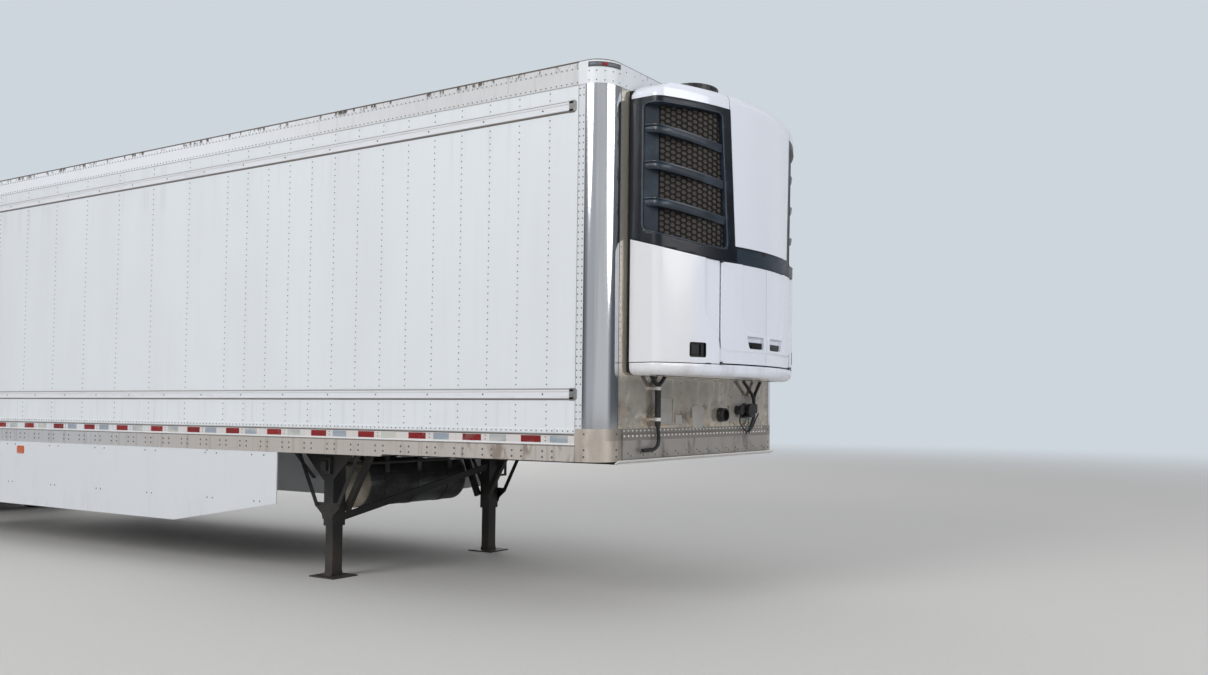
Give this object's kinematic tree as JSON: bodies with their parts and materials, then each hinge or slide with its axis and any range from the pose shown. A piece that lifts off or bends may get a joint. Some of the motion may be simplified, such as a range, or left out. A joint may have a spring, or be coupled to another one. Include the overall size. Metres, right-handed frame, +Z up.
{
  "type": "refrigerated semi trailer",
  "caption": "Long white insulated van trailer with a refrigeration unit on its nose, parked on landing legs; hinged rear doors, hinged unit doors and turning dual wheels.",
  "frame": {"origin": "on the ground under the middle of the trailer's outer box", "axes": "+X forwards towards the kingpin and the refrigeration unit, +Y to the road side (left), +Z up"},
  "size_m": [16.88, 2.6, 4.115],
  "materials": {
    "panel_white": "white painted foam-core panel",
    "rail_white": "white painted extrusion",
    "polished_steel": "mirror polished stainless",
    "brushed_sill": "brushed warm grey casting",
    "floor_aluminium": "mill finish",
    "frame_black": "near-black chassis paint",
    "galvanised": "galvanised",
    "tank_aluminium": "satin tank",
    "wheel_white": "white wheel paint",
    "tyre": "road tyre",
    "rubber_black": "matt rubber",
    "unit_white": "white moulded skin",
    "unit_black": "glossy blue-black",
    "mesh_dark": "dark honeycomb guard",
    "coil_dark": "finned coil",
    "lamp_lens": "amber and red lenses",
    "engine": "plain block"
  },
  "bodies": {
    "trailer": {"side_wall_left": "panel_white", "side_wall_right": "panel_white", "roof": "panel_white", "front_wall": "polished_steel", "nose_corners": "polished_steel", "nose_header": "rail_white", "nose_sill": "brushed_sill", "bottom_rails": "rail_white", "top_rails": "rail_white", "rub_rails": "rail_white", "skirts": "rail_white", "skirt_struts": "frame_black", "floor": "floor_aluminium", "coupler_plate": "frame_black", "kingpin": "galvanised", "cross_members": "frame_black", "landing_legs": "frame_black", "landing_braces": "frame_black", "fuel_tank": "tank_aluminium", "slide_rails": "frame_black", "bogie_frame": "frame_black", "trailing_arms": "frame_black", "axles": "frame_black", "air_springs": "rubber_black", "shock_absorbers": "frame_black", "air_tanks": "frame_black", "rear_posts": "galvanised", "rear_header": "galvanised", "rear_sill": "galvanised", "dock_bumpers": "rubber_black", "rear_guard": "frame_black", "mud_flaps": "rubber_black", "lamps": "lamp_lens", "unit_cowl": "unit_white", "unit_grille": "unit_black", "unit_mesh": "mesh_dark", "unit_coil": "coil_dark", "unit_side_panels": "unit_white", "unit_tray": "unit_white", "unit_frame": "frame_black", "unit_engine": "engine", "unit_fans": "unit_black", "evaporator": "panel_white", "nose_hoses": "rubber_black", "nose_fittings": "galvanised"},
    "left_rear_door": {"rear_door_left": "panel_white", "lock_rods_left": "galvanised"},
    "right_rear_door": {"rear_door_right": "panel_white", "lock_rods_right": "galvanised"},
    "left_unit_door": {"unit_door_left": "unit_white"},
    "right_unit_door": {"unit_door_right": "unit_white"},
    "front_left_wheel": {"tyres_front_left": "tyre", "wheels_front_left": "wheel_white"},
    "front_right_wheel": {"tyres_front_right": "tyre", "wheels_front_right": "wheel_white"},
    "rear_left_wheel": {"tyres_rear_left": "tyre", "wheels_rear_left": "wheel_white"},
    "rear_right_wheel": {"tyres_rear_right": "tyre", "wheels_rear_right": "wheel_white"}
  },
  "joints": [
    {"name": "left_rear_door_hinge", "type": "hinge", "parent": "trailer", "child": "left_rear_door", "pos_m": [-8.38, 1.285, 2.6575], "axis": [0, 0, -1], "range_deg": [0, 255]},
    {"name": "right_rear_door_hinge", "type": "hinge", "parent": "trailer", "child": "right_rear_door", "pos_m": [-8.38, -1.285, 2.6575], "axis": [0, 0, 1], "range_deg": [0, 255]},
    {"name": "left_unit_door_hinge", "type": "hinge", "parent": "trailer", "child": "left_unit_door", "pos_m": [8.357, 0.55, 2.28], "axis": [0, 0, 1], "range_deg": [0, 100]},
    {"name": "right_unit_door_hinge", "type": "hinge", "parent": "trailer", "child": "right_unit_door", "pos_m": [8.357, -0.55, 2.28], "axis": [0, 0, -1], "range_deg": [0, 100]},
    {"name": "front_left_wheel_spin", "type": "hinge", "parent": "trailer", "child": "front_left_wheel", "pos_m": [-4.6635, 0.9845, 0.508], "axis": [0, 1, 0], "continuous": true},
    {"name": "front_right_wheel_spin", "type": "hinge", "parent": "trailer", "child": "front_right_wheel", "pos_m": [-4.6635, -0.9845, 0.508], "axis": [0, 1, 0], "continuous": true},
    {"name": "rear_left_wheel_spin", "type": "hinge", "parent": "trailer", "child": "rear_left_wheel", "pos_m": [-5.9085, 0.9845, 0.508], "axis": [0, 1, 0], "continuous": true},
    {"name": "rear_right_wheel_spin", "type": "hinge", "parent": "trailer", "child": "rear_right_wheel", "pos_m": [-5.9085, -0.9845, 0.508], "axis": [0, 1, 0], "continuous": true}
  ]
}
